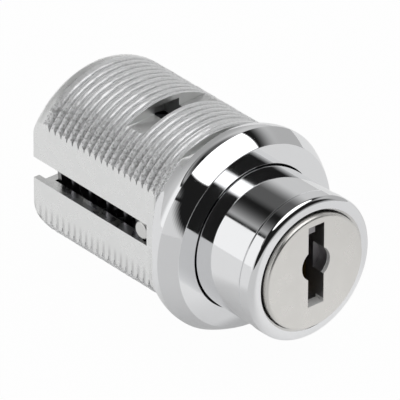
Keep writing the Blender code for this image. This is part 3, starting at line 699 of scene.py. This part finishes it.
def box_tool(x_range, s_range, z_range, mark=0):
    low = Vector((x_range[0], -s_range[1], z_range[0])) * MM
    high = Vector((x_range[1], -s_range[0], z_range[1])) * MM
    mesh = bpy.data.meshes.new("tool")
    shape = bmesh.new()
    place = Matrix.Translation((low + high) / 2) @ Matrix.Diagonal((*(high - low), 1.0))
    bmesh.ops.create_cube(shape, size=1.0, matrix=place)
    shape.to_mesh(mesh)
    shape.free()
    return marked(mesh, mark)


def rod_tool(radius, start, end, segments=PIN_SEGMENTS, mark=0):
    """A cylinder between two (x, s, z) points."""
    first = Vector((start[0], -start[1], start[2])) * MM
    last = Vector((end[0], -end[1], end[2])) * MM
    along = last - first
    turn = Vector((0, 0, 1)).rotation_difference(along).to_matrix().to_4x4()
    mesh = bpy.data.meshes.new("tool")
    shape = bmesh.new()
    bmesh.ops.create_cone(shape, cap_ends=True, segments=segments, radius1=radius * MM,
                          radius2=radius * MM, depth=along.length,
                          matrix=Matrix.Translation((first + last) / 2) @ turn)
    shape.to_mesh(mesh)
    shape.free()
    return marked(mesh, mark)


def carve(item, cuts, joins=(), count=1):
    """Join meshes to a piece that has a list of count materials, then cut others away from it."""
    while len(item.data.materials) < count:
        item.data.materials.append(None)
    helpers = []
    for mesh, operation in [(mesh, "UNION") for mesh in joins] + [(mesh, "DIFFERENCE") for mesh in cuts]:
        helper = new_object("tool", mesh)
        helpers.append(helper)
        step = item.modifiers.new("carve", "BOOLEAN")
        step.operation = operation
        step.solver = "EXACT"
        step.object = helper
    graph = bpy.context.evaluated_depsgraph_get()
    mesh = bpy.data.meshes.new_from_object(item.evaluated_get(graph))
    item.modifiers.clear()
    item.data = mesh
    for helper in helpers:
        bpy.data.objects.remove(helper)


def finish_mesh(item, materials, angle=SHARP_ANGLE):
    """Fill the list of materials, and smooth the gentle edges."""
    mesh = item.data
    marks = [0] * len(mesh.polygons)
    mesh.polygons.foreach_get("material_index", marks)
    mesh.materials.clear()
    for material in materials:
        mesh.materials.append(material)
    last = len(materials) - 1
    mesh.polygons.foreach_set("material_index", [min(mark, last) for mark in marks])
    mesh.shade_smooth()
    mesh.set_sharp_from_angle(angle=math.radians(angle))


def smooth_share(value):
    """A smooth change from 0 to 1 while the value goes from 0 to 1."""
    value = min(max(value, 0.0), 1.0)
    return value * value * (3 - 2 * value)


def bevel_points():
    """The crowned bevel from the face of the collar out to its edge."""
    points = []
    for i in range(BEVEL_STEPS + 1):
        share = i / BEVEL_STEPS
        radius = COLLAR_FACE_RADIUS + (COLLAR_RADIUS - COLLAR_FACE_RADIUS) * share
        radius += 4 * share * (1 - share) * BEVEL_CROWN
        fillet = BEVEL_ROUND if i in (0, BEVEL_STEPS) else 0
        points.append((radius, COLLAR_LENGTH + (COLLAR_EDGE - COLLAR_LENGTH) * share, fillet))
    return points


def flare_points():
    """The back of the collar, curving in from its band to its neck."""
    front = COLLAR_EDGE - COLLAR_BAND
    points = []
    for i in range(FLARE_STEPS + 1):
        share = i / FLARE_STEPS
        swell = (1 + math.cos(math.pi * share)) / 2
        radius = COLLAR_NECK_RADIUS + (COLLAR_RADIUS - COLLAR_NECK_RADIUS) * swell
        points.append((radius, front + (COLLAR_NECK - front) * share, 0))
    return points


def collar_rows():
    """Rings from inside the bore's mouth, over the face, to the neck."""
    points = [(BUTTON_BORE, BORE_SHINE_END, 0), (BUTTON_BORE, COLLAR_LENGTH, BORE_MOUTH_ROUND)]
    return supported(rounded(points + bevel_points() + flare_points()), False)


def thread_rows():
    """Rings along the barrel, on the crest of its thread, with the relief next to the collar."""
    count = round((THREAD_START - THREAD_END) / THREAD_PITCH * THREAD_STEPS)
    rows = []
    for i in range(count + 1):
        station = THREAD_START + (THREAD_END - THREAD_START) * i / count
        relief = RELIEF_DEPTH * smooth_share((station - RELIEF_REAR) / RELIEF_FADE)
        rows.append((THREAD_RADIUS - relief, station))
    return rows


def nose_rows():
    """Rings of the round nose, a quarter of an ellipse."""
    rows = []
    for i in range(1, NOSE_RINGS + 1):
        angle = math.pi / 2 * i / NOSE_RINGS
        rows.append((NOSE_RADIUS + (THREAD_RADIUS - NOSE_RADIUS) * math.cos(angle),
                     THREAD_END + (NOSE_END - THREAD_END) * math.sin(angle)))
    return rows


def inside_rows():
    """Rings from the rear end through the bores, without the two of the nose's end and the last one."""
    rows = supported(rounded([
        (NOSE_RADIUS, NOSE_END, 0), (RECESS_RADIUS, NOSE_END, RECESS_ROUND),
        (RECESS_RADIUS, WALL_BACK, 0), (WALL_HOLE, WALL_BACK, RECESS_ROUND),
        (WALL_HOLE, WALL_FRONT, 0), (MAIN_BORE, WALL_FRONT, 0), (MAIN_BORE, BUTTON_BORE_END, 0),
        (BUTTON_BORE, BUTTON_BORE_END, 0), (BUTTON_BORE, BORE_SHINE_END, 0)]), False)
    return rows[2:-1]


def thread_cut(station, angle):
    """Depth of the thread's groove below its crest."""
    turn = (station / THREAD_PITCH - angle / (2 * math.pi)) % 1.0
    reach = abs(turn - 0.5) * 2
    fade = smooth_share((THREAD_RUNOUT - station) / THREAD_FADE_FRONT)
    fade *= smooth_share((station - THREAD_END) / THREAD_FADE_REAR)
    swell = (1 - math.cos(math.pi * reach)) / 2
    groove = smooth_share((reach - GROOVE_START) / GROOVE_SIDE)
    return (THREAD_SWELL * swell + THREAD_GROOVE * groove) * fade


def skin_height(radius, station, angle):
    """Lumps of the cast skin."""
    point = Vector((radius * math.cos(angle), station, radius * math.sin(angle)))
    return (BROAD_LUMP * noise.noise(point * BROAD_LUMPS_PER_MM)
            + SMALL_LUMP * noise.noise(point * SMALL_LUMPS_PER_MM))


def housing_mesh():
    """The turned shape of the housing: the thread runs out over the foot of the collar."""
    collar = collar_rows()
    thread = thread_rows()
    nose = nose_rows()
    inside = inside_rows()
    outline = collar + thread + nose + inside
    shiny = sum(1 for _, station in collar if station > THREAD_RUNOUT)
    marks = [POLISHED] * shiny + [SKIN] * (len(collar) - shiny + len(thread))
    marks += [SMOOTH] * len(nose) + [INSIDE] * len(inside)
    radii = round_rows(outline, SEGMENTS)
    barrel = len(collar)
    barrel_end = barrel + len(thread)
    for row in range(barrel_end + len(nose)):
        radius, station = outline[row]
        if station > THREAD_RUNOUT:
            continue
        for column in range(SEGMENTS):
            angle = 2 * math.pi * column / SEGMENTS
            cut = thread_cut(station, angle) if row < barrel_end else 0.0
            lump = skin_height(radius, station, angle) - SKIN_SINK if row >= barrel else 0.0
            radii[row, column] = radius - cut + lump
    return ring_mesh("housing_shell", radii, np.array([station for _, station in outline]), True, marks)


def flat_outline(side):
    """What a side flat takes away: level along the barrel, then curving out under the collar."""
    front = COLLAR_EDGE - COLLAR_BAND
    out = COLLAR_RADIUS + BEYOND
    rear = NOSE_END - BEYOND
    points = [(out, rear), (FLAT, rear)]
    for i in range(FLAT_CURVE_STEPS + 1):
        share = i / FLAT_CURVE_STEPS
        swell = (1 - math.cos(math.pi * share)) / 2
        points.append((FLAT + (COLLAR_RADIUS + FLAT_EXIT - FLAT) * swell,
                       COLLAR_NECK + (front - COLLAR_NECK) * share))
    points.append((out, front))
    return [(side * x, s) for x, s in points]


def make_housing():
    item = new_object("housing_shell", housing_mesh())
    reach = COLLAR_RADIUS + BEYOND
    across = (-reach, reach)
    channel = (-CHANNEL_HALF, CHANNEL_HALF)
    inner = MAIN_BORE - BEYOND
    finishes = [CHROME, CAST, FLAT_CHROME, BORE_SHADE_METAL, WINDOW_METAL]
    carve(item, [
        prism_tool(flat_outline(-1), across, SMOOTH),
        prism_tool(flat_outline(1), across, SMOOTH),
        box_tool(across, (NOSE_END - BEYOND, SLOT_FRONT), (-SLOT_HALF, SLOT_HALF), SMOOTH),
        box_tool(channel, (CHANNEL_REAR, BARREL_WINDOW[1]), (inner, CHANNEL_TOP), MILLED),
        box_tool(across, BARREL_WINDOW, (WINDOW_FLOOR, reach), MILLED),
        box_tool(channel, COLLAR_WINDOW, (inner, WINDOW_FLOOR + OVERLAP), MILLED),
        box_tool(across, COLLAR_WINDOW, (WINDOW_FLOOR, reach), MILLED)], count=len(finishes))
    finish_mesh(item, finishes, SHARP_HOUSING_ANGLE)
    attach(item, "barrel")
    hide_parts("housing")


def make_sleeve():
    points = [(SLEEVE_MOUTH, SLEEVE_LIP_REAR, 0), (SLEEVE_MOUTH, SLEEVE_FRONT - SLEEVE_MOUTH_EDGE, 0)]
    for i in range(SLEEVE_RIM_STEPS + 1):
        angle = math.pi / 2 * (1 - i / SLEEVE_RIM_STEPS)
        points.append((SLEEVE_RIM_TOP + (SLEEVE_RIM_RADIUS - SLEEVE_RIM_TOP) * math.cos(angle),
                       SLEEVE_RIM_BEND + (SLEEVE_FRONT - SLEEVE_RIM_BEND) * math.sin(angle), 0))
    points += [
        (SLEEVE_RIM_RADIUS, SLEEVE_RIM_REAR, 0), (SLEEVE_RADIUS, SLEEVE_RIM_REAR - SLEEVE_RIM_TAPER, 0),
        (SLEEVE_RADIUS, SLEEVE_REAR, 0), (SLEEVE_BORE, SLEEVE_REAR, 0), (SLEEVE_BORE, SLEEVE_LIP_REAR, 0)]
    item = new_object("button_tube", turned_mesh("button_tube", points, SEGMENTS))
    finish_mesh(item, [CHROME])
    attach(item, "button")
    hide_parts("button_sleeve")


def crank_pin():
    """The pin off the middle of the core's tail, which moves the locking tab."""
    return rod_tool(CRANK_RADIUS, (CRANK_PLACE, CRANK_REAR, CRANK_PLACE),
                    (CRANK_PLACE, TAIL_REAR + CRANK_ROOT, CRANK_PLACE))


def post_hole(radius, floor, mark):
    return rod_tool(radius, (POST_HOLE[0], floor, POST_HOLE[1]),
                    (POST_HOLE[0], CORE_FACE + BEYOND, POST_HOLE[1]), POST_HOLE_SEGMENTS, mark)


def keyway_tools():
    """The keyway with a ward at its top left corner, the post hole, and their edges with painted light."""
    front = CORE_FACE + BEYOND
    left, right = KEYWAY_X
    low, high = KEYWAY_Z
    behind_ward = (KEYWAY_REAR, WARD_FRONT + OVERLAP)
    return [
        box_tool((left - HAIR, right + HAIR), (CORE_FACE - KEYWAY_LIT, front),
                 (low - HAIR, low + KEYWAY_LIT_HEIGHT), LIT),
        box_tool(KEYWAY_X, (WARD_FRONT, front), KEYWAY_Z, CUT),
        box_tool(KEYWAY_X, behind_ward, (low, WARD_Z), CUT),
        box_tool((WARD_X, right), behind_ward, (0.0, high), CUT),
        post_hole(POST_HOLE_RADIUS, POST_HOLE_FLOOR, CUT),
        post_hole(POST_HOLE_RADIUS + HAIR, CORE_FACE - POST_HOLE_LIT, LIT)]


def wafer_place(index):
    """Station of a wafer, counted from 0 at the front, and the side that its lug is on."""
    return WAFER_FRONT - index * WAFER_PITCH, 1 if index % 2 == 0 else -1


def wafer_tools(index):
    """The slot for a wafer, with room for its lug and a hole for its spring."""
    station, side = wafer_place(index)
    reach = CORE_RADIUS + BEYOND
    across = (station - WAFER_SLOT_HALF, station + WAFER_SLOT_HALF)
    lug_x = sorted((side * LUG_SLOT_X[0], side * LUG_SLOT_X[1]))
    lug_z = sorted((-side * reach, side * LUG_SLOT_Z))
    return [
        box_tool((-WAFER_SLOT_REACH, WAFER_SLOT_REACH), across, (-reach, reach), CUT),
        box_tool(lug_x, across, lug_z, CUT),
        rod_tool(SPRING_HOLE_RADIUS, (side * SPRING_HOLE_X, station, -side * reach),
                 (side * SPRING_HOLE_X, station, side * SPRING_HOLE_TOP), SPRING_HOLE_SEGMENTS, CUT)]


def make_core():
    points = [
        (0.0, CORE_FACE, 0), (CORE_FLANGE_RADIUS, CORE_FACE, CORE_EDGE),
        (CORE_FLANGE_RADIUS, CORE_FLANGE_REAR, 0), (CORE_RADIUS, CORE_FLANGE_REAR, 0),
        (CORE_RADIUS, CORE_REAR, 0), (TAIL_RADIUS, CORE_REAR, 0), (TAIL_RADIUS, CLIP_GROOVE[1], 0),
        (CLIP_GROOVE_RADIUS, CLIP_GROOVE[1], 0), (CLIP_GROOVE_RADIUS, CLIP_GROOVE[0], 0),
        (TAIL_RADIUS, CLIP_GROOVE[0], 0), (TAIL_RADIUS, TAIL_REAR, 0), (0.0, TAIL_REAR, 0)]
    item = new_object("keyed_core", turned_mesh("keyed_core", points, CORE_SEGMENTS, closed=False))
    cuts = keyway_tools()
    for index in range(WAFER_COUNT):
        cuts += wafer_tools(index)
    finishes = [NICKEL, KEYWAY_METAL, PAINTED_LIT_METAL]
    carve(item, cuts, [crank_pin()], count=len(finishes))
    finish_mesh(item, finishes)
    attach(item, "core")
    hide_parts("lock_core")


def make_bolt():
    points = [
        (0.0, SPIGOT_FRONT, 0), (SPIGOT_RADIUS, SPIGOT_FRONT, SPIGOT_ROUND),
        (SPIGOT_RADIUS, BOLT_SHOULDER, 0), (BOLT_RADIUS, BOLT_SHOULDER, BOLT_ROUND),
        (BOLT_RADIUS, BOLT_REAR + BOLT_CHAMFER, BOLT_SIDE_ROUND),
        (BOLT_RADIUS - BOLT_CHAMFER, BOLT_REAR, BOLT_ROUND), (0.0, BOLT_REAR, 0)]
    item = new_object("round_bolt", turned_mesh("round_bolt", points, CORE_SEGMENTS, closed=False))
    reach = SPIGOT_RADIUS + BEYOND
    carve(item, [rod_tool(PIN_HOLE_RADIUS, (-reach, PIN_STATION, 0), (reach, PIN_STATION, 0))])
    finish_mesh(item, [STEEL])
    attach(item, "button")
    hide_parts("lock_bolt")


def make_cross_pin():
    points = [(0.0, PIN_REACH, 0), (PIN_RADIUS, PIN_REACH, PIN_ROUND),
              (PIN_RADIUS, -PIN_REACH, PIN_ROUND), (0.0, -PIN_REACH, 0)]
    mesh = turned_mesh("pin_rod", points, PIN_SEGMENTS, closed=False)
    mesh.transform(Matrix.Translation((0, -PIN_STATION * MM, 0)) @ Matrix.Rotation(math.pi / 2, 4, "Z"))
    item = new_object("pin_rod", mesh)
    finish_mesh(item, [PIN_METAL])
    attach(item, "button")
    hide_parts("cross_pin")


def coil_station(turn):
    """Where the return spring's wire lies after so many turns, with its end turns closed up."""
    first = SPRING_FIRST - SPRING_END_RISE
    last = SPRING_LAST + SPRING_END_RISE
    if turn < 1:
        return SPRING_FIRST - SPRING_END_RISE * turn
    if turn > SPRING_TURNS - 1:
        return SPRING_LAST + SPRING_END_RISE * (SPRING_TURNS - turn)
    share = (turn - 1) / (SPRING_TURNS - 2)
    return first * (1 - share) + last * share


def coil_mesh():
    count = round(SPRING_TURNS * COIL_STEPS)
    points = []
    for i in range(count + 1):
        turn = SPRING_TURNS * i / count
        angle = 2 * math.pi * turn
        radial = Vector((math.cos(angle), 0, math.sin(angle)))
        centre = radial * SPRING_RADIUS + Vector((0, -coil_station(turn), 0))
        for k in range(WIRE_SIDES):
            tilt = 2 * math.pi * k / WIRE_SIDES
            outward = radial * math.cos(tilt) + Vector((0, 1, 0)) * math.sin(tilt)
            points.append((centre + WIRE_RADIUS * outward) * MM)
    faces = []
    for here in range(0, count * WIRE_SIDES, WIRE_SIDES):
        there = here + WIRE_SIDES
        for k in range(WIRE_SIDES):
            after = (k + 1) % WIRE_SIDES
            faces.append((here + k, here + after, there + after, there + k))
    faces.append(tuple(range(WIRE_SIDES)))
    faces.append(tuple(count * WIRE_SIDES + k for k in range(WIRE_SIDES)))
    mesh = bpy.data.meshes.new("coil_spring")
    mesh.from_pydata(points, [], faces)
    clean_mesh(mesh)
    return mesh


def make_return_spring():
    """The coils between the body and the washer."""
    item = new_object("coil_spring", coil_mesh())
    finish_mesh(item, [SPRING_STEEL], SHARP_COIL_ANGLE)
    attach(item, "barrel")
    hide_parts("return_spring")
    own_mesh(item)


def make_wafer_springs():
    """Copies of the small springs in the core."""
    for index in range(WAFER_COUNT):
        number = index + 1
        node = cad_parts["wafer_spring_%d" % number]
        mesh = node.data.copy()
        mesh.transform(node.matrix_world)
        mesh.materials.clear()
        mesh.materials.append(SPRING_STEEL)
        item = new_object("wafer_coil_%d" % number, mesh)
        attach(item, "core")
        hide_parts("wafer_spring_%d" % number)
        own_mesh(item)


def paint_nodes():
    """Materials for the pieces that stay as plain solids."""
    finishes = {"cylinder_body": ZINC, "core_clip": SPRING_STEEL, "locking_tab": STEEL,
                "spring_washer": STEEL}
    for number in range(1, WAFER_COUNT + 1):
        finishes["wafer_%d" % number] = BRASS
    for name, material in finishes.items():
        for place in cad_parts[name].material_slots:
            place.material = material


def make_camera():
    turn, lift, roll = (math.radians(v) for v in (CAMERA_AZIMUTH, CAMERA_ELEVATION, CAMERA_ROLL))
    right = Vector((math.cos(turn), math.sin(turn), 0))
    back = Vector((math.sin(turn) * math.cos(lift), -math.cos(turn) * math.cos(lift), math.sin(lift)))
    up = back.cross(right)
    across = math.cos(roll) * right + math.sin(roll) * up
    upward = -math.sin(roll) * right + math.cos(roll) * up
    place = CAMERA_DISTANCE * back - CAMERA_SHIFT_RIGHT * across - CAMERA_SHIFT_UP * upward
    place.y -= CAMERA_FOCUS_STATION
    data = bpy.data.cameras.new("camera")
    data.lens = CAMERA_LENS
    data.sensor_width = CAMERA_SENSOR
    data.clip_start = CAMERA_NEAR * MM
    data.clip_end = CAMERA_FAR * MM
    camera = bpy.data.objects.new("camera", data)
    bpy.context.scene.collection.objects.link(camera)
    turned = Matrix((across, upward, back)).transposed().to_4x4()
    camera.matrix_world = Matrix.Translation(place * MM) @ turned
    bpy.context.scene.camera = camera


def painted_floor_shadow(tree):
    """How dark the painted shadow of the lock on the mirrored floor is at each place on it."""
    position = tree.nodes.new("ShaderNodeNewGeometry").outputs["Position"]
    x, y, _ = split_vector(tree, position)
    ahead = product(tree, step_in_mm(tree, y, OPEN_FRONT, at_low=1.0, at_high=0.0),
                    step_in_mm(tree, x, OPEN_LEFT),
                    step_in_mm(tree, x, OPEN_RIGHT, at_low=1.0, at_high=OPEN_RIGHT_LEVEL))
    behind = step_in_mm(tree, y, OPEN_BEHIND, at_high=OPEN_BEHIND_LEVEL)
    clear = math_node(tree, "MAXIMUM", ahead, behind)
    return math_node(tree, "SUBTRACT", FLOOR_SHADE, product(tree, clear, FLOOR_OPEN))


def floor_material():
    """A pale floor that keeps shadows, shows white to the camera and has a painted shadow round the lock
    in mirrors.
    """
    material = bpy.data.materials.new("pale_floor")
    material.use_nodes = True
    tree = material.node_tree
    tree.nodes.clear()
    pale = tree.nodes.new("ShaderNodeBsdfDiffuse")
    pale.inputs["Color"].default_value = (0.9, 0.9, 0.9, 1.0)
    path = tree.nodes.new("ShaderNodeLightPath")
    mirror = math_node(tree, "MAXIMUM", path.outputs["Is Glossy Ray"], path.outputs["Is Transmission Ray"])
    mirrored = product(tree, mirror, FLOOR_MIRRORED)
    white = tree.nodes.new("ShaderNodeEmission")
    # Painted shadow: the floor's glow in mirrors is dimmed by place around the lock
    level = math_node(tree, "SUBTRACT", 1.0, product(tree, mirrored, painted_floor_shadow(tree)))
    tree.links.new(level, white.inputs["Strength"])
    seen = product(tree, path.outputs["Is Camera Ray"], FLOOR_WHITE)
    blend = tree.nodes.new("ShaderNodeMixShader")
    tree.links.new(math_node(tree, "MAXIMUM", seen, mirrored), blend.inputs[0])
    tree.links.new(pale.outputs[0], blend.inputs[1])
    tree.links.new(white.outputs[0], blend.inputs[2])
    output = tree.nodes.new("ShaderNodeOutputMaterial")
    tree.links.new(blend.outputs[0], output.inputs["Surface"])
    return material


def make_floor():
    reach = FLOOR_REACH * MM
    low = CAD_BOX[0][2] - FLOOR_GAP * MM
    corners = [(-reach, -reach, low), (reach, -reach, low), (reach, reach, low), (-reach, reach, low)]
    mesh = bpy.data.meshes.new("floor")
    mesh.from_pydata(corners, [], [(0, 1, 2, 3)])
    mesh.materials.append(floor_material())
    floor = new_object("floor", mesh)


def studio_walls(tree, direction):
    """Pale walls at the left, right and back, which end below the ceiling and at the camera's side."""
    x, y, z = split_vector(tree, direction)
    ceiling = smooth_step(tree, z, CEILING_Z, 1.0, 0.0)
    panel = smooth_step(tree, z, PANEL_TOP_Z, 1.0, 0.0)
    fringe = product(tree, ceiling, smooth_step(tree, z, FRINGE_Z, *FRINGE_LEVELS))
    left = product(tree, smooth_step(tree, x, WALL_SPLIT_X, 1.0, 0.0),
                   smooth_step(tree, y, LEFT_WALL_Y, *LEFT_WALL_LEVELS),
                   math_node(tree, "MAXIMUM", panel, fringe))
    right = product(tree, smooth_step(tree, x, WALL_SPLIT_X, 0.0, RIGHT_WALL_LEVEL),
                    smooth_step(tree, x, RIGHT_WALL_END_X, 1.0, RIGHT_WALL_END_LEVEL), ceiling)
    back = smooth_step(tree, y, BACK_WALL_Y, 1.0, BACK_WALL_LEVEL)
    towards = tree.nodes.new("ShaderNodeVectorMath")
    towards.operation = "DOT_PRODUCT"
    tree.links.new(direction, towards.inputs[0])
    towards.inputs[1].default_value = DARK_SIDE
    away = smooth_step(tree, towards.outputs["Value"], DARK_SIDE_REACH, 1.0, 0.0)
    ahead = product(tree, smooth_step(tree, y, DARK_FRONT_Y, 1.0, 0.0), smooth_step(tree, z, DARK_FRONT_Z))
    return product(tree, math_node(tree, "ADD", left, right), back, away,
                   math_node(tree, "SUBTRACT", 1.0, ahead))


def soft_box(tree, direction):
    """The round light overhead, and how dark it is beside it."""
    x, y, z = split_vector(tree, direction)
    height = math_node(tree, "MAXIMUM", z, LEAST_RISE)
    across = math_node(tree, "SUBTRACT", math_node(tree, "DIVIDE", x, height), BOX_CENTRE[0])
    along = math_node(tree, "SUBTRACT", math_node(tree, "DIVIDE", y, height), BOX_CENTRE[1])
    return smooth_step(tree, hypotenuse(tree, across, along), BOX_EDGE, BOX_LEVEL, DARK_LEVEL)


def faint_glow(tree, direction):
    """A little light from the corner between the right and the back, over the whole height."""
    x, y, _ = split_vector(tree, direction)
    return product(tree, smooth_step(tree, x, GLOW_X, 0.0, GLOW_LEVEL), smooth_step(tree, y, GLOW_Y))


def make_world():
    """A studio with pale walls, a round soft box overhead and a dark side at the camera."""
    world = bpy.data.worlds.new("studio")
    world.use_nodes = True
    tree = world.node_tree
    tree.nodes.clear()
    direction = tree.nodes.new("ShaderNodeTexCoord").outputs["Generated"]
    level = math_node(tree, "MAXIMUM", studio_walls(tree, direction), faint_glow(tree, direction))
    level = math_node(tree, "MAXIMUM", level, soft_box(tree, direction))
    seen = tree.nodes.new("ShaderNodeLightPath").outputs["Is Camera Ray"]
    white = tree.nodes.new("ShaderNodeBackground")
    white.inputs["Color"].default_value = (1.0, 1.0, 1.0, 1.0)
    tree.links.new(math_node(tree, "MAXIMUM", level, seen), white.inputs["Strength"])
    output = tree.nodes.new("ShaderNodeOutputWorld")
    tree.links.new(white.outputs[0], output.inputs["Surface"])
    bpy.context.scene.world = world


make_camera()
make_world()
make_floor()
make_housing()
make_sleeve()
make_core()
make_bolt()
make_cross_pin()
make_return_spring()
make_wafer_springs()
paint_nodes()

bpy.context.scene.view_settings.view_transform = "Standard"

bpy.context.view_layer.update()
